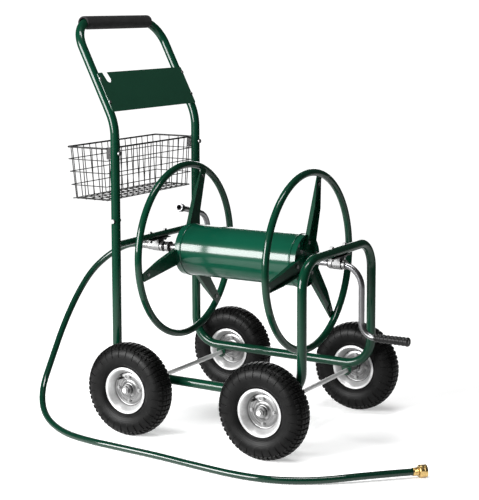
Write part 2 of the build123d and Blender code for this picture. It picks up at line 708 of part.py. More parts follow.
outlet_end = -24.0
collar_r, collar_length = 11.0, 15.0
tee_r = 12.0
with BuildPart() as outlet_pipe:
    rod((outlet_x - 12, 0, reel_z), (outlet_x + 12, 0, reel_z), tee_r)
    upper = hub + outlet_up * (2 * outlet_bend_r)
    with BuildLine() as outlet_path:
        FilletPolyline(
            hub + outlet_out * (shaft_r + 1), hub + outlet_out * (outlet_reach + outlet_bend_r),
            upper + outlet_out * (outlet_reach + outlet_bend_r), upper + outlet_out * outlet_end,
            radius=outlet_bend_r - 0.2,
        )
    tube_section(outlet_path.line, outlet_pipe_r)
    rod(upper + outlet_out * outlet_end, upper + outlet_out * (outlet_end + collar_length), collar_r)
    tube_section_cut = outlet_path.line
    with BuildSketch(Plane(origin=tube_section_cut @ 0, z_dir=tube_section_cut % 0)) as bore:
        Circle(outlet_pipe_r - 2)
    sweep(bore.sketch, path=tube_section_cut, mode=Mode.SUBTRACT)
    rod((outlet_x - 13, 0, reel_z), (outlet_x + 13, 0, reel_z), shaft_r, Mode.SUBTRACT)
save(outlet_pipe, "outlet_pipe")

with BuildPart() as crank_arm:
    with BuildLine() as crank_path:
        FilletPolyline(
            (shaft_front_x, 0, reel_z), (crank_x, 0, reel_z), (crank_x, 0, crank_z), (grip_x, 0, crank_z),
            radius=[crank_top_bend_r, crank_low_bend_r - 0.5],
        )
    tube_section(crank_path.line, shaft_r, shaft_bore_r)
    rod((grip_x - 3, 0, crank_z), (grip_x, 0, crank_z), shaft_r - 0.2)
    rod((grip_x - 1, 0, crank_z), (half_length - 5, 0, crank_z), crank_pin_r)
    rod((half_length - 5, 0, crank_z), (half_length - 2, 0, crank_z), 6.0)
save(crank_arm, "crank_arm")

crank_axis = Axis((0, 0, crank_z), (1, 0, 0))
with BuildPart() as crank_grip:
    with BuildSketch(Plane(origin=(0, 0, crank_z), x_dir=(1, 0, 0), z_dir=(0, -1, 0))):
        with BuildLine():
            Polyline(
                (half_length - 3, 10.4), (half_length, 9.0), (half_length, 6.6), (half_length - 5.3, 6.6),
                (half_length - 5.3, crank_pin_r + running_gap), (grip_x + 0.3, crank_pin_r + running_gap),
                (grip_x + 0.3, 8.8), (grip_x + 4, 9.2), (grip_x + 7, 8.0),
            )
            Spline((grip_x + 7, 8.0), (grip_x + 45, 9.0), (half_length - 3, 10.4))
        make_face()
    revolve(axis=crank_axis)
save(crank_grip, "crank_grip")

# ---- water inlet: swivel body fixed to the rear bearing, ferrule, leader hose, coupling ----
swivel_face_x = leg_x - bearing_length / 2
spigot_end_x = -312.0
nipple_x = -344.0
with BuildPart() as swivel_body:
    with BuildSketch(reel_half_plane):
        with BuildLine():
            Polyline(
                (hose_start_x, 4.0), (hose_start_x, 7.0), (nipple_x, 7.0), (nipple_x, 13.0),
                (swivel_face_x, 13.0), (swivel_face_x, 8.8), (shaft_rear_x - 0.5, 8.8),
                (shaft_rear_x - 0.5, shaft_bore_r - running_gap), (spigot_end_x, shaft_bore_r - running_gap),
                (spigot_end_x, 4.0), close=True,
            )
        make_face()
    revolve(axis=reel_axis)
save(swivel_body, "swivel_body")

ferrule_r = 11.0
with BuildPart() as hose_ferrule:
    rod((hose_start_x, 0, reel_z), (nipple_x - 2, 0, reel_z), ferrule_r)
    rod((hose_start_x, 0, reel_z), (nipple_x - 2, 0, reel_z), 7.0, Mode.SUBTRACT)
    chamfer(hose_ferrule.edges().filter_by(GeomType.CIRCLE).filter_by(lambda edge: edge.radius > 10), 1.0)
save(hose_ferrule, "hose_ferrule")

coupling_z = 16.4
hose_points = [
    (-365, 0, 472.5), (-400, 0, 472.5), (-441, -3, 459), (-483, -18, 431), (-520, -46, 388),
    (-542, -88, 322), (-551, -143, 241), (-545, -207, 155), (-527, -280, 82), (-472, -338, 33),
    (-383, -374, 9), (-273, -398, 9), (-152, -404, 9), (-27, -411, 9), (96, -427, 9),
    (211, -436, 9), (316, -419, 9), (408, -369, 11), (491, -294, coupling_z), (576, -210, coupling_z),
]
hose_points = [Vector(*point) for point in hose_points]
hose_radii = []
for before, corner, after in zip(hose_points, hose_points[1:], hose_points[2:]):
    run_in, run_out = corner - before, after - corner
    half_turn = math.radians(run_in.get_angle(run_out)) / 2
    hose_radii.append(0.45 * min(run_in.length, run_out.length) / math.tan(half_turn))
print("hose radii", [round(radius) for radius in hose_radii])

with BuildPart() as leader_hose:
    with BuildLine() as hose_path:
        FilletPolyline(*hose_points, radius=hose_radii)
    tube_section(hose_path.line, hose_r)
hose_length = sum(edge.length for edge in hose_path.line.edges())
section_volume = math.pi * hose_r ** 2 * hose_length
print("hose length", round(hose_length), "volume share", round(leader_hose.part.volume / section_volume, 4))
save(leader_hose, "leader_hose")

hose_end = hose_points[-1]
hose_out = (hose_points[-1] - hose_points[-2]).normalized()
shank_end, nut_start, nut_end = 15.0, 15.4, 36.0
nut_r, nut_bore_r, tail_r = 16.3, 13.2, 8.0
with BuildPart() as hose_tail:
    rod(hose_end, hose_end + hose_out * shank_end, 10.4)
    rod(hose_end + hose_out * shank_end, hose_end + hose_out * 23.0, tail_r)
    rod(hose_end + hose_out * 20.8, hose_end + hose_out * 23.0, 11.5)
    rod(hose_end, hose_end + hose_out * 24.0, 5.5, Mode.SUBTRACT)
save(hose_tail, "hose_tail")

with BuildPart() as coupling_nut:
    with BuildSketch(Plane(origin=hose_end + hose_out * nut_start, z_dir=hose_out)):
        RegularPolygon(nut_r, 8)
    extrude(amount=12.0)
    rod(hose_end + hose_out * (nut_start + 12.0), hose_end + hose_out * nut_end, nut_r - 0.3)
    rod(hose_end + hose_out * 20.5, hose_end + hose_out * (nut_end + 1), 12.2, Mode.SUBTRACT)
    rod(hose_end + hose_out * 23.4, hose_end + hose_out * (nut_end + 1), nut_bore_r, Mode.SUBTRACT)
    rod(hose_end, hose_end + hose_out * 21.0, tail_r + running_gap, Mode.SUBTRACT)
save(coupling_nut, "coupling_nut")
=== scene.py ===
import json
import math
import bpy
import numpy as np
from mathutils import Matrix, Vector


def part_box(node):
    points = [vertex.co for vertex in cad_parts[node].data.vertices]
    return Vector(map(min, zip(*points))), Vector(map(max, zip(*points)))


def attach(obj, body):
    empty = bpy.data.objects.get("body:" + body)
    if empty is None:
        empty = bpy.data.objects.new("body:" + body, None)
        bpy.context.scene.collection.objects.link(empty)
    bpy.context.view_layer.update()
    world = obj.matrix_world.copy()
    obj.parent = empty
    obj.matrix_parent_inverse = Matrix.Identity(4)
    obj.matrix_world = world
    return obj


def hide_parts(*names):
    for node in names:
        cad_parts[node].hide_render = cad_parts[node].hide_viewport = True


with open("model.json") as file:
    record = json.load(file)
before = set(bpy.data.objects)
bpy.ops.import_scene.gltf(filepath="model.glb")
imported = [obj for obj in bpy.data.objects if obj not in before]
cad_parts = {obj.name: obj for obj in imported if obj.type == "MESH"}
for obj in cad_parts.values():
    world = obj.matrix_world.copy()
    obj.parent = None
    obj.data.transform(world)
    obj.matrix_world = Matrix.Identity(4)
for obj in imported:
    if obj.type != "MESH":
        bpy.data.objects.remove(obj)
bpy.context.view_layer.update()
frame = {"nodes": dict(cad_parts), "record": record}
nodes = frame["nodes"]

# Garden hose reel cart.  Metres, origin on the floor under the cart, +X towards the crank.

# ---- sizes shared with the part ----
axle_height = 0.127
wheel_places = {
    "front_left": (0.1887, -0.269), "front_right": (0.1887, 0.269),
    "rear_left": (-0.2287, -0.269), "rear_right": (-0.2287, 0.269),
}
reel_height = 0.4725
hose_diameter = 0.018
coupling_height = 0.0164
hose_route = [
    (-.365, 0, .4725), (-.400, 0, .4725), (-.441, -.003, .459), (-.483, -.018, .431),
    (-.520, -.046, .388), (-.542, -.088, .322), (-.551, -.143, .241), (-.545, -.207, .155),
    (-.527, -.280, .082), (-.472, -.338, .033), (-.383, -.374, .009), (-.273, -.398, .009),
    (-.152, -.404, .009), (-.027, -.411, .009), (.096, -.427, .009), (.211, -.436, .009),
    (.316, -.419, .009), (.408, -.369, .011), (.491, -.294, coupling_height),
    (.576, -.210, coupling_height),
]


# ---- camera ----
def aim_camera():
    """Camera from azimuth, elevation and roll: back, right and up vectors form its axes."""
    azimuth, elevation, roll = math.radians(31.716), math.radians(6.411), math.radians(-0.256)
    back = Vector((
        math.sin(azimuth) * math.cos(elevation),
        -math.cos(azimuth) * math.cos(elevation),
        math.sin(elevation),
    ))
    right = Vector((math.cos(azimuth), math.sin(azimuth), 0))
    up = back.cross(right)
    turned_right = right * math.cos(roll) + up * math.sin(roll)
    turned_up = up * math.cos(roll) - right * math.sin(roll)
    lens = bpy.data.cameras.new("studio_camera")
    lens.lens = 102.425
    lens.sensor_width = 36
    lens.shift_x = 0.04625
    lens.shift_y = -0.17163
    lens.clip_end = 60
    camera = bpy.data.objects.new("studio_camera", lens)
    bpy.context.scene.collection.objects.link(camera)
    axes = Matrix((turned_right, turned_up, back)).transposed().to_4x4()
    camera.matrix_world = Matrix.Translation((1.95207, -3.3477, 1.1612)) @ axes
    bpy.context.scene.camera = camera


aim_camera()


# ---- shader maths ----
class Value:
    """A socket in a material.  Arithmetic on it adds Math nodes."""

    def __init__(self, finish, socket):
        self.finish = finish
        self.socket = socket

    def maths(self, operation, *terms):
        return self.finish.node("Math", {"operation": operation}, dict(enumerate(terms)))

    def __add__(self, other):
        return self.maths("ADD", self, other)

    __radd__ = __add__

    def __sub__(self, other):
        return self.maths("SUBTRACT", self, other)

    def __rsub__(self, other):
        return self.maths("SUBTRACT", other, self)

    def __mul__(self, other):
        return self.maths("MULTIPLY", self, other)

    __rmul__ = __mul__

    def clamp(self):
        return self.finish.node("Clamp", {}, {0: self})

    def step(self, low, high):
        """0 below low, 1 above high, and smooth between."""
        return self.finish.node(
            "MapRange", {"interpolation_type": "SMOOTHSTEP"}, {0: self, 1: low, 2: high},
        )


class Finish:
    """A procedural material: node() adds any node, paint() sets what varies over the surface."""

    def __init__(self, name, **shader):
        self.material = bpy.data.materials.new(name)
        self.material.use_nodes = True
        self.tree = self.material.node_tree
        self.shader = self.tree.nodes["Principled BSDF"]
        for socket, value in shader.items():
            self.shader.inputs[socket.replace("_", " ")].default_value = value

    def node(self, kind, settings, values, output=0):
        made = self.tree.nodes.new("ShaderNode" + kind)
        for name, value in settings.items():
            setattr(made, name, value)
        for key, value in values.items():
            if isinstance(value, Value):
                self.tree.links.new(value.socket, made.inputs[key])
            else:
                made.inputs[key].default_value = value
        return Value(self, made.outputs[output])

    def place(self):
        """The point on the piece, in metres."""
        return self.node("TexCoord", {}, {}, "Object")

    def along(self, name="UV", axis=0):
        """One coordinate of the piece's own UV map."""
        uv = self.node("UVMap", {"uv_map": name}, {})
        return self.node("SeparateXYZ", {}, {0: uv}, axis)

    def noise(self, scale, detail=3.0, rough=0.5, vector=None):
        return self.node("TexNoise", {}, {
            "Vector": vector or self.place(), "Scale": scale, "Detail": detail, "Roughness": rough,
        })

    def mix(self, factor, a, b):
        return self.node("Mix", {"data_type": "RGBA"}, {0: factor, 6: a, 7: b}, 2)

    def bump(self, height, distance, strength=1.0):
        return self.node("Bump", {}, {"Height": height, "Distance": distance, "Strength": strength})

    def paint(self, **sockets):
        for name, value in sockets.items():
            self.tree.links.new(value.socket, self.shader.inputs[name.replace("_", " ")])
        return self.material


def rgb(red, green, blue):
    return (red, green, blue, 1.0)


# ---- finishes ----
def powder_coat(name, base, light, gloss=0.38, haze=0.03):
    """Glossy powder coat: faint orange peel, slow changes of depth, and a clear top coat."""
    finish = Finish(name, Coat_Weight=gloss, Coat_Roughness=haze, IOR=1.45, Specular_IOR_Level=0.06)
    drift = finish.noise(9.0, 2.0)
    peel = finish.noise(420.0, 2.0)
    grime = finish.noise(60.0, 5.0, 0.6)
    colour = finish.mix((drift * 0.55 + grime * 0.25).clamp(), base, light)
    return finish.paint(
        Base_Color=colour,
        Roughness=(0.26 + grime * 0.14).clamp(),
        Normal=finish.bump(peel + grime * 0.4, 0.000015),
    )


def plated(name, base, dark, roughness, cloud=38.0, metal=1.0):
    """Zinc or chrome plating: bright metal with cloudy patches and fine drawing marks."""
    finish = Finish(name, Metallic=metal, IOR=2.2)
    patches = finish.noise(cloud, 4.0, 0.6)
    marks = finish.noise(900.0, 2.0)
    colour = finish.mix(patches.step(0.35, 0.8), base, dark)
    return finish.paint(
        Base_Color=colour,
        Roughness=(roughness + patches * roughness * 0.5 + marks * 0.03).clamp(),
        Normal=finish.bump(marks * 0.2 + patches, 0.000008),
    )


def rim_plating():
    """Rim plating: the disc is darker and cloudy, a painted shade, and the barrel beyond it, told
    by how far along the section it lies, is paler, a painted light, and more matt."""
    finish = Finish("rim_zinc", IOR=2.2)
    barrel = finish.along().step(0.41, 0.46)
    patches = finish.noise(22.0, 4.0, 0.6)
    scuffs = finish.noise(240.0, 4.0, 0.6)
    # painted shade on the disc and painted light on the barrel: one plating in a darker and a paler
    # copy
    disc_shaded_tone = finish.mix(patches.step(0.35, 0.8), rgb(.17, .17, .17), rgb(.10, .10, .10))
    barrel_lit_tone = finish.mix(scuffs.step(0.35, 0.8), rgb(.52, .52, .52), rgb(.42, .42, .42))
    return finish.paint(
        Base_Color=finish.mix(barrel, disc_shaded_tone, barrel_lit_tone),
        Metallic=1 - barrel * 0.4,
        Roughness=(0.30 + patches * 0.12 + scuffs * 0.05).clamp(),
        Normal=finish.bump(scuffs * 0.3 + patches, 0.00002),
    )


def moulded_rubber():
    """Tyre rubber: near black with a dusty bloom, a fine grain and faint moulding rings."""
    finish = Finish("tyre_rubber", IOR=1.45, Specular_IOR_Level=0.09)
    bloom = finish.noise(26.0, 5.0, 0.65)
    grain = finish.noise(1600.0, 2.0)
    across = finish.along(axis=1)
    rings = finish.node("TexWave", {"wave_type": "BANDS"}, {"Vector": finish.node(
        "CombineXYZ", {}, {0: across},
    ), "Scale": 26.0})
    wall = finish.node("Math", {"operation": "ABSOLUTE"}, {0: across - 0.5}).step(0.22, 0.3)
    return finish.paint(
        Base_Color=finish.mix(
            bloom.step(0.3, 0.85), rgb(.0022, .0022, .0022), rgb(.0065, .0065, .0065),
        ),
        Roughness=(0.27 + bloom * 0.2).clamp(),
        Normal=finish.bump(grain * 0.5 + rings * wall * 0.6, 0.00025),
    )


def cellular_foam():
    """Closed-cell foam sleeve: charcoal, matt, with fine cells and a slight skin."""
    finish = Finish("grip_foam", Sheen_Weight=0.04, Sheen_Roughness=0.5, Specular_IOR_Level=0.2)
    cells = finish.node("TexVoronoi", {}, {"Vector": finish.place(), "Scale": 900.0})
    wear = finish.noise(45.0, 4.0, 0.6)
    return finish.paint(
        Base_Color=finish.mix(wear.step(0.35, 0.8), rgb(.007, .007, .0072), rgb(.014, .014, .0144)),
        Roughness=(0.72 + wear * 0.2).clamp(),
        Normal=finish.bump(cells + wear * 0.8, 0.00035),
    )


def moulded_plastic(name, base, light, roughness):
    """Injection-moulded plastic: fine grain with slow changes in gloss."""
    finish = Finish(name, IOR=1.46, Specular_IOR_Level=0.25)
    grain = finish.noise(1300.0, 2.0)
    flow = finish.noise(30.0, 3.0)
    return finish.paint(
        Base_Color=finish.mix(flow.step(0.3, 0.8), base, light),
        Roughness=(roughness + flow * 0.12).clamp(),
        Normal=finish.bump(grain + flow * 0.5, 0.00012),
    )


def vinyl_hose():
    """Extruded vinyl: dark glossy green with very faint lengthwise draw lines."""
    finish = Finish(
        "hose_vinyl", IOR=1.45, Specular_IOR_Level=0.06, Coat_Weight=0.6, Coat_Roughness=0.04,
    )
    drift = finish.noise(14.0, 3.0)
    scuffs = finish.noise(190.0, 5.0, 0.65)
    return finish.paint(
        Base_Color=finish.mix(
            (drift * 0.6 + scuffs * 0.3).clamp(), rgb(.0005, .010, .005), rgb(.0010, .020, .0105),
        ),
        Roughness=(0.2 + scuffs * 0.16).clamp(),
        Normal=finish.bump(scuffs + drift, 0.00003),
    )


def machined_brass():
    """Brass: warm turned metal with tarnish in patches."""
    finish = Finish("coupling_brass", Metallic=1.0)
    tarnish = finish.noise(120.0, 5.0, 0.6)
    turning = finish.noise(1500.0, 2.0)
    return finish.paint(
        Base_Color=finish.mix(tarnish.step(0.4, 0.8), rgb(.50, .35, .14), rgb(.30, .19, .07)),
        Roughness=(0.2 + tarnish * 0.2).clamp(),
        Normal=finish.bump(turning + tarnish, 0.00008),
    )


green = powder_coat("green_powder_coat", rgb(.0006, .018, .0085), rgb(.0010, .026, .013))
drum_green = powder_coat(
    "drum_powder_coat", rgb(.0008, .030, .0155), rgb(.0014, .042, .0235), gloss=0.5, haze=0.13,
)
# painted light: a paler copy of the green coat for the back plate, standing in for the sheen the light
# lays on it
plate_lit_green = powder_coat("plate_lit_powder_coat", rgb(.006, .036, .020), rgb(.009, .048, .027))
zinc = plated("zinc_plate", rgb(.22, .22, .22), rgb(.15, .15, .15), 0.32)
# painted reflection: a pale, half-metal copy of the zinc for the axles, standing in for the bright
# backdrop they reflect
axle_lit_zinc = plated("axle_lit_zinc", rgb(.62, .62, .62), rgb(.52, .52, .52), 0.4, metal=0.35)
rim_zinc = rim_plating()
chrome = plated("chrome_plate", rgb(.19, .19, .195), rgb(.14, .14, .145), 0.24)
rubber = moulded_rubber()
foam = cellular_foam()
black_plastic = moulded_plastic(
    "black_plastic", rgb(.0025, .0025, .0026), rgb(.005, .005, .005), 0.3,
)
wire_coat = moulded_plastic("wire_coating", rgb(.002, .002, .002), rgb(.004, .004, .004), 0.34)
vinyl = vinyl_hose()
brass = machined_brass()
butyl = moulded_plastic("valve_rubber", rgb(.010, .010, .010), rgb(.02, .02, .02), 0.5)

finish_of_slot = {
    "frame_tube": green, "drum_sheet": drum_green, "foam": foam, "plated_steel": zinc,
    "basket_wire": wire_coat, "black_plastic": black_plastic, "chrome": chrome,
    "hose_green": vinyl, "brass": brass, "tyre_rubber": rubber, "tube_rubber": butyl,
    "rim_steel": rim_zinc,
}
finish_of_node = {"back_plate": plate_lit_green, "front_axle": axle_lit_zinc, "rear_axle": axle_lit_zinc}
for part in frame["record"]["subparts"]:
    part_finish = finish_of_slot[part["material_slot"]]
    if part["node"] in finish_of_node:
        part_finish = finish_of_node[part["node"]]
    data = nodes[part["node"]].data
    data.materials.clear()
    data.materials.append(part_finish)


# ---- surfaces on a grid ----
def surface(name, points, finish, around=True, along=False, sharp=35.0):
    """A mesh from a grid of points (rows, columns, 3): each cell is a quad, rows join up when
    along is true and columns when around is true, and the UV runs 0 to 1 along and around."""
    rows, columns = points.shape[:2]
    row = np.arange(rows if along else rows - 1)[:, None]
    column = np.arange(columns if around else columns - 1)[None, :]
    next_row, next_column = (row + 1) % rows, (column + 1) % columns
    corners = np.stack([
        row * columns + column, row * columns + next_column,
        next_row * columns + next_column, next_row * columns + column,
    ], axis=-1)
    row, column = np.broadcast_arrays(row, column)
    u = np.stack([row, row, row + 1, row + 1], -1)
    v = np.stack([column, column + 1, column + 1, column], -1)
    uv = np.stack([u / (rows if along else rows - 1), v / (columns if around else columns - 1)], -1)
    mesh = bpy.data.meshes.new(name)
    mesh.from_pydata(points.reshape(-1, 3), [], corners.reshape(-1, 4).tolist())
    layer = mesh.uv_layers.new(name="UV")
    layer.data.foreach_set("uv", uv.reshape(-1).astype(np.float32))
    mesh.polygons.foreach_set("use_smooth", np.ones(len(mesh.polygons), dtype=bool))
    mesh.set_sharp_from_angle(angle=math.radians(sharp))
    mesh.materials.append(finish)
    piece = bpy.data.objects.new(name, mesh)
    bpy.context.scene.collection.objects.link(piece)
    return piece


def axes_for(direction):
    """Two unit vectors square to direction and to each other."""
    forward = np.asarray(direction, float) / np.linalg.norm(direction)
    helper = np.array([0.0, 0.0, 1.0]) if abs(forward[2]) < 0.9 else np.array([1.0, 0.0, 0.0])
    first = np.cross(forward, helper)
    first /= np.linalg.norm(first)
    return forward, first, np.cross(forward, first)


def turned(name, centre, direction, profile, finish, count=64, shape=None):
    """A turned piece: profile pairs (distance along, radius) are spun about direction through
    centre, and shape, if given, multiplies the radius at each angle."""
    forward, first, second = axes_for(direction)
    distance, radius = np.array(profile, float).T
    angle = np.linspace(0, 2 * math.pi, count, endpoint=False)
    reach = radius[:, None] * np.ones(count)
    if shape is not None:
        reach = reach * shape(distance[:, None], angle[None, :])
    points = (
        np.asarray(centre, float)
        + distance[:, None, None] * forward
        + (reach * np.cos(angle))[..., None] * first
        + (reach * np.sin(angle))[..., None] * second
    )
    return surface(name, points, finish)


# ---- leader hose and its coupling ----
def lay_hose():
    """The hose follows one smooth spline whose control points are the route's."""
    line = bpy.data.curves.new("leader_hose_tube", "CURVE")
    line.dimensions = "3D"
    spline = line.splines.new("NURBS")
    spline.points.add(len(hose_route) - 1)
    spline.points.foreach_set("co", np.append(hose_route, np.ones((len(hose_route), 1)), 1).ravel())
    spline.order_u = 3
    spline.use_endpoint_u = True
    spline.resolution_u = 24
    line.bevel_depth = hose_diameter / 2
    line.bevel_resolution = 7
    line.use_fill_caps = True
    line.materials.append(vinyl)
    hose = bpy.data.objects.new("leader_hose_tube", line)
    bpy.context.scene.collection.objects.link(hose)
    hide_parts("leader_hose")
    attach(hose, "cart")
    return hose


leader_tube = lay_hose()
hose_end = np.array(hose_route[-1])
hose_out = hose_end - np.array(hose_route[-2])
hose_out /= np.linalg.norm(hose_out)


def knurl(distance, angle):
    """Grip flats on the nut: a rounded octagon over its first 12 mm, fading to round."""
    octagon = np.cos(math.pi / 8) / np.cos((angle + math.pi / 8) % (math.pi / 4) - math.pi / 8)
    flat = np.clip((0.0280 - distance) / 0.001, 0, 1)
    return 1 + (np.minimum(octagon * 1.045, 1.0) - 1) * flat


def make_coupling():
    """The brass fitting: a crimped shank, a free nut with grip flats, and a thread inside."""
    ridge = [(0.0008, .0094), (0.0, .0100), (0.0006, .0104)]
    for place in (0.0030, 0.0062, 0.0094):
        ridge += [
            (place, .0104), (place + .0006, .0098), (place + .0014, .0098), (place + .0020, .0104),
        ]
    ridge += [(.0138, .0104), (.0148, .0100), (.0150, .0082), (.0206, .0080), (.0207, .0113),
              (.0229, .0115), (.0232, .0112), (.0238, .0078), (.0236, .0057), (.0040, .0056)]
    shank = turned("hose_shank", hose_end, hose_out, ridge, brass, 72)
    thread = [(0.0235 + 0.0116 * step / 40, .0132 - .0007 * (0.5 - 0.5 * math.cos(step * 1.8)))
              for step in range(40, -1, -1)]
    nut_profile = [
        (.0206, .0081), (.0155, .0082), (.0154, .0118), (.0158, .0148), (.0166, .0158),
        (.0178, .0163), (.0262, .0163), (.0274, .0160), (.0279, .0155), (.0284, .0160), (.0292, .0161),
        (.0350, .0161), (.0358, .0157), (.0360, .0150), (.0360, .0138),
    ] + thread + [(.0234, .0121), (.0206, .0120), (.0206, .0081)]
    nut = turned("hose_nut", hose_end, hose_out, nut_profile, brass, 96, knurl)
    washer = turned("hose_washer", hose_end, hose_out, [
        (.0241, .0072), (.0241, .0122), (.0262, .0122), (.0262, .0072), (.0241, .0072),
    ], butyl, 48)
    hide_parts("hose_tail")
    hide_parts("coupling_nut")
    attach(shank, "cart")
    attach(nut, "nut")
    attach(washer, "nut")
    return shank, nut, washer


coupling = make_coupling()


# ---- tyres ----
def tyre_surface():
    """Tyre grid about the axle at the origin.  The half section runs from the crown to the bead;
    the angle runs over the tread pitches.  Three rows of blocks stand on the crown and shoulder,
    and every second pitch carries a thin rib down the side that fades out."""
    pitch = np.array([0.0, 0.02, 0.07, 0.35, 0.63, 0.68, 0.70, 0.72, 0.73, 0.78, 0.90, 0.95, 0.97])
    pitches = 56
    block_height, rib_height = 0.0031, 0.0020
    angle = (np.arange(pitches)[:, None] + pitch[None, :]).ravel() * 2 * math.pi / pitches
    block_rise = np.interp(pitch, [0, 0.02, 0.07, 0.63, 0.68, 0.70], [0, 0.78, 1, 1, 0.78, 0])
    on_block = np.tile(block_rise, pitches)
    even = (np.arange(pitches).repeat(len(pitch)) % 2 == 0).astype(float)
    on_rib = even * np.tile(np.isin(np.arange(len(pitch)), (9, 10)).astype(float), pitches)
    # across the tyre, out from the axle, block height share, rib height share
    half = np.array([
        # crown and shoulder blocks
        (0, 123.8, 0, 0), (.9, 123.8, 0, 0), (1.5, 123.8, .9, 0), (5.0, 123.7, 1, 0),
        (8.6, 123.4, .9, 0), (9.2, 123.3, 0, 0), (11.2, 123.0, 0, 0), (11.8, 122.9, .9, 0),
        (15.5, 122.0, 1, 0), (19.0, 120.7, .9, 0), (19.6, 120.4, 0, 0), (21.4, 119.5, 0, 0),
        (22.0, 119.1, .9, .3), (24.5, 117.2, 1, .6), (27.0, 114.8, .9, .8), (28.0, 113.6, .8, 1),
        # ribbed side
        (28.6, 112.9, 0, 1), (30.2, 110.6, 0, 1), (31.8, 107.6, 0, 1), (33.2, 104.2, 0, .9),
        (34.2, 100.8, 0, .8), (34.8, 97.5, 0, .7), (35.0, 94.0, 0, .5), (34.9, 90.5, 0, .2),
        # plain side, rim guard and bead
        (34.5, 87.0, 0, 0), (33.7, 83.2, 0, 0), (32.4, 79.0, 0, 0), (30.8, 75.2, 0, 0),
        (28.8, 71.6, 0, 0), (26.9, 69.2, 0, 0), (26.5, 68.7, 0, 0), (25.4, 68.6, 0, 0),
        (24.2, 67.2, 0, 0), (22.6, 65.2, 0, 0), (21.4, 63.4, 0, 0), (20.2, 62.2, 0, 0),
        # inside
        (15.0, 62.4, 0, 0), (16.0, 66.0, 0, 0), (29.0, 92.0, 0, 0), (22.0, 113.0, 0, 0),
        (8.0, 117.6, 0, 0),
    ])
    across, out, block, rib = half.T
    section = np.concatenate([-across[::-1], across[1:]]) / 1000
    radius = np.concatenate([out[::-1], out[1:]]) / 1000
    block = np.concatenate([block[::-1], block[1:]])
    rib = np.concatenate([rib[::-1], rib[1:]])
    height = block_height * block * on_block[:, None] + rib_height * rib * on_rib[:, None]
    run, rise = np.gradient(section), np.gradient(radius)
    length = np.hypot(run, rise)
    wide = section - height * rise / length
    tall = np.minimum(radius + height * run / length, axle_height)
    return np.stack([tall * np.sin(angle)[:, None], wide, tall * np.cos(angle)[:, None]], axis=-1)


tyre_grid = tyre_surface()
for corner, (x, y) in wheel_places.items():
    tyre = surface(
        f"{corner}_treaded_tyre", tyre_grid + np.array([x, y, axle_height]), rubber,
        along=True, sharp=28.0,
    )
    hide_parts(f"{corner}_tyre")
    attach(tyre, f"{corner}_wheel")


# ---- pressed steel rims ----
# One half's section, from the hub seat over the disc, up the barrel, round the lip and back.
half_rim = np.array([
    (.0074, .0146), (.0074, .0160), (.0070, .0168), (.0062, .0176), (.0040, .0208), (.0026, .0232),
    (.0024, .0250), (.0024, .0268), (.0030, .0276), (.0036, .0284), (.0036, .0305), (.0026, .0311),
    (.0026, .0338), (.0036, .0345), (.0036, .0400), (.0031, .0410),
    (.0026, .0420), (.0026, .0434), (.0034, .0450), (.0052, .0462), (.0080, .0472), (.0190, .0536),
    (.0214, .0552), (.0230, .0566), (.0240, .0578), (.0246, .0588), (.0244, .0597), (.0240, .0604),
    (.0243, .0612), (.0250, .0618), (.0250, .0628), (.0243, .0635), (.0232, .0635), (.0225, .0627),
    (.0222, .0612), (.0206, .0584), (.0180, .0564), (.0060, .0492), (.0008, .0470), (.0004, .0460),
    (.0004, .0222), (.0016, .0196), (.0040, .0162), (.0042, .0146), (.0074, .0146),
])


def make_rims(corner, x, y):
    """Two half rims, each a closed section turned about the axle, and the rolled edge of the
    hole that the valve stem comes through."""
    for face, name in ((-1, "outer"), (1, "inner")):
        rim = turned(
            f"{corner}_{name}_rim", (x, y, axle_height), (0, face * (1 if y < 0 else -1), 0),
            half_rim, rim_zinc, 112,
        )
        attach(rim, f"{corner}_wheel")
        if name == "outer":
            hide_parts(f"{corner}_rims")
    outward = 1 if y > 0 else -1
    tilt, stem_reach, disc_face = math.radians(14), 0.0335, 0.0036
    centre = (
        x + outward * stem_reach * math.sin(tilt), y + outward * disc_face,
        axle_height + stem_reach * math.cos(tilt),
    )
    eyelet = turned(f"{corner}_rim_eyelet", centre, (0, outward, 0), [
        (-.0004, .0001), (-.0004, .0046), (.0002, .0050), (.0009, .0056), (.0010, .0062),
        (.0006, .0068), (-.0004, .0071),
    ], rim_zinc, 40)
    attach(eyelet, f"{corner}_wheel")


for corner, (x, y) in wheel_places.items():
    make_rims(corner, x, y)


# ---- crank grip, collars on the shaft and the hose ferrule ----
def ribbed_grip():
    """Moulded grip turned about its pin: it swells towards the free end, and its outside is a
    raised cosine of nine shallow ridges."""
    low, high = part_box("crank_grip")
    length = high[0] - low[0]
    ridges, ridge_half, taper = 9, 0.0006, 0.0014
    share = np.linspace(0.03, 0.97, 109)
    outside = 0.0100 + taper * share + ridge_half * (1 - np.cos(2 * math.pi * ridges * share))
    profile = [(0, .0062), (0, .0086), (.0008, .0094)]
    profile += np.stack([share * length, outside], -1).tolist()
    profile += [
        (length - .0010, .0110), (length - .0002, .0100), (length, .0070), (length - .0053, .0069),
        (length - .0054, .0062), (0, .0062),
    ]
    inner_end = (low[0], 0, (low[2] + high[2]) / 2)
    grip = turned("ribbed_crank_grip", inner_end, (1, 0, 0), profile, black_plastic, 48)
    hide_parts("crank_grip")
    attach(grip, "hand_grip")


ribbed_grip()


def shaft_collar(name, start, width, radius, finish, shape=None):
    """A ring on the shaft from start along its width, with eased corners."""
    ease, bore = .0009, .0083
    ring = turned(name, (start, 0, reel_height), (1, 0, 0), [
        (0, bore), (0, radius - ease), (ease, radius),
        (width - ease, radius), (width, radius - ease), (width, bore), (0, bore),
    ], finish, 48, shape)
    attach(ring, "reel")


def six_sided(distance, angle):
    """A hexagon whose corners are cut round: the reach to a flat, capped."""
    flat = math.cos(math.pi / 6) / np.cos((angle + math.pi / 6) % (math.pi / 3) - math.pi / 6)
    return np.minimum(flat * 1.06, 1.0) + 0 * distance


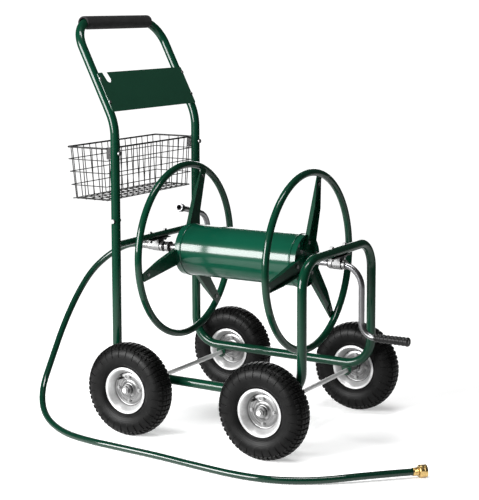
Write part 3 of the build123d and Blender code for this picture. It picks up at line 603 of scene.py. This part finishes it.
shaft_collar("front_inner_collar", .2385, .0100, .0140, zinc)
shaft_collar("front_inner_seal", .2340, .0035, .0118, black_plastic)
shaft_collar("front_outer_collar", .2775, .0085, .0128, zinc)
shaft_collar("rear_inner_collar", -.3015, .0075, .0150, zinc)
shaft_collar("rear_seal", -.2930, .0050, .0132, black_plastic)
shaft_collar("rear_lock_nut", -.2865, .0120, .0145, zinc, six_sided)
shaft_collar("rear_washer", -.2735, .0030, .0160, black_plastic)


def outlet_mouth():
    """The outlet's end: a sleeve whose outside is a wave of four thread crests, and a black washer
    seated in its mouth that also paints the shade of a wider dark bore, both turned about the outlet's
    line."""
    lean, bend_width, mouth_past, shaft_place = math.radians(14.5), 0.113, 0.024, -0.245
    inward = np.array([0.0, math.cos(lean), -math.sin(lean)])
    rise = np.array([0.0, math.sin(lean), math.cos(lean)])
    mouth = np.array([shaft_place, 0.0, reel_height]) + bend_width * rise - mouth_past * inward
    thread_pitch, crest_height = 0.0030, 0.0007
    place = np.linspace(0.0010, 0.0130, 49)
    crest = 0.0110 + crest_height * (0.5 - 0.5 * np.cos(2 * math.pi * place / thread_pitch))
    profile = [(-.0004, .0092), (-.0004, .0104), (.0004, .0109)]
    profile += np.stack([place, crest], -1).tolist()
    profile += [(.0150, .0116), (.0160, .0112), (.0160, .0082), (-.0001, .0092), (-.0004, .0092)]
    sleeve = turned("outlet_thread", mouth, inward, profile, chrome, 56)
    # a black washer ring that also paints the shade of a wider dark bore
    washer = turned("outlet_washer_and_shade", mouth, inward, [
        (-.0003, .0056), (-.0008, .0060), (-.0008, .0082), (-.0003, .0086), (.0002, .0086),
        (.0002, .0056), (-.0003, .0056),
    ], black_plastic, 40)
    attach(sleeve, "reel")
    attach(washer, "reel")


outlet_mouth()


def crimped_ferrule():
    """A sleeve over the hose end with three pressed grooves, turned about the shaft's line."""
    profile = [(0, .0092), (0, .0104), (.0008, .0112)]
    for place in (.0040, .0110, .0180):
        profile += [
            (place, .0112), (place + .0008, .0105), (place + .0026, .0105), (place + .0034, .0112),
        ]
    profile += [(.0280, .0112), (.0290, .0104), (.0290, .0092), (0, .0092)]
    sleeve = turned(
        "crimped_ferrule", (hose_route[0][0] - .010, 0, reel_height), (1, 0, 0), profile, zinc, 56,
    )
    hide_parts("hose_ferrule")
    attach(sleeve, "cart")


crimped_ferrule()


# ---- foam grip on the handle ----
def make_grip():
    """A sleeve of foam on the middle line of its box: straight, rolled in at both ends, with a
    soft waviness from sines of the distance and the angle."""
    low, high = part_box("foam_grip")
    middle = [(a + b) / 2 for a, b in zip(low, high)]
    half, radius = (high[1] - low[1]) / 2, (high[0] - low[0]) / 2
    station = np.concatenate([
        [-1.0, -1.0, -0.995, -0.985], np.linspace(-0.95, 0.95, 60), [0.985, 0.995, 1.0, 1.0],
    ])
    swell = np.concatenate([[0.72, 0.86, 0.95, 0.985], np.ones(60), [0.985, 0.95, 0.86, 0.72]])
    profile = np.stack([station * half, swell * radius * 0.995], -1)

    def soft(distance, angle):
        waves = np.sin(distance * 160 + 2 * np.sin(angle)) ** 2 + np.sin(3 * angle) ** 2
        return 1 - 0.006 * waves

    sleeve = turned("foam_sleeve", middle, (0, 1, 0), profile, foam, 96, soft)
    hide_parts("foam_grip")
    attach(sleeve, "cart")


make_grip()


# ---- studio ----
def area_light(name, place, target, size, power):
    """A rectangular soft box at place, facing target, that the camera doesn't see."""
    lamp = bpy.data.lights.new(name, "AREA")
    lamp.shape = "RECTANGLE"
    lamp.size, lamp.size_y = size
    lamp.energy = power
    holder = bpy.data.objects.new(name, lamp)
    holder.location = place
    holder.visible_camera = False
    holder.rotation_euler = (Vector(target) - Vector(place)).to_track_quat("-Z", "Y").to_euler()
    bpy.context.scene.collection.objects.link(holder)


area_light("key_box", (-1.83, -3.75, 1.50), (0, 0, 0.7), (2.7, 1.85), 575)
area_light("top_box", (0.3, -0.4, 3.2), (0, 0, 0.3), (1.6, 0.5), 70)
area_light("back_box", (-2.6, 4.2, 1.2), (0, 0, 0.6), (2.4, 1.8), 55)


def make_floor():
    """A wide pale floor that fades out towards its edge."""
    side = np.linspace(-4, 4, 9)
    points = np.stack(np.meshgrid(side, side, indexing="ij") + [np.full((9, 9), -0.0004)], -1)
    paper = Finish("floor_paper", Specular_IOR_Level=0.1, Emission_Strength=1.0)
    speckle = paper.noise(3.0, 2.0)
    reach = paper.node("VectorMath", {"operation": "LENGTH"}, {0: paper.place()}, 1)
    edge = reach.step(1.1, 2.6)
    paper.paint(
        Base_Color=paper.mix(speckle, rgb(.88, .88, .88), rgb(.90, .90, .90)),
        Roughness=(0.7 + speckle * 0.1).clamp(),
        Emission_Color=paper.mix(edge, rgb(.36, .36, .36), rgb(.8, .8, .8)),
        Alpha=1 - edge,
    )
    surface("studio_floor", points, paper.material, around=False)


make_floor()


def light_world():
    """A dim room for reflections, and a white background to look at."""
    world = bpy.data.worlds.new("studio_world")
    world.use_nodes = True
    bpy.context.scene.world = world
    tree = world.node_tree
    tree.nodes.clear()
    rays = tree.nodes.new("ShaderNodeLightPath")
    room = tree.nodes.new("ShaderNodeBackground")
    room.inputs["Strength"].default_value = 0.1
    backdrop = tree.nodes.new("ShaderNodeBackground")
    backdrop.inputs["Color"].default_value = (1, 1, 1, 1)
    backdrop.inputs["Strength"].default_value = 1.1
    mixed = tree.nodes.new("ShaderNodeMixShader")
    output = tree.nodes.new("ShaderNodeOutputWorld")
    tree.links.new(rays.outputs["Is Camera Ray"], mixed.inputs[0])
    tree.links.new(room.outputs[0], mixed.inputs[1])
    tree.links.new(backdrop.outputs[0], mixed.inputs[2])
    tree.links.new(mixed.outputs[0], output.inputs[0])


light_world()
bpy.context.scene.view_settings.view_transform = "Standard"
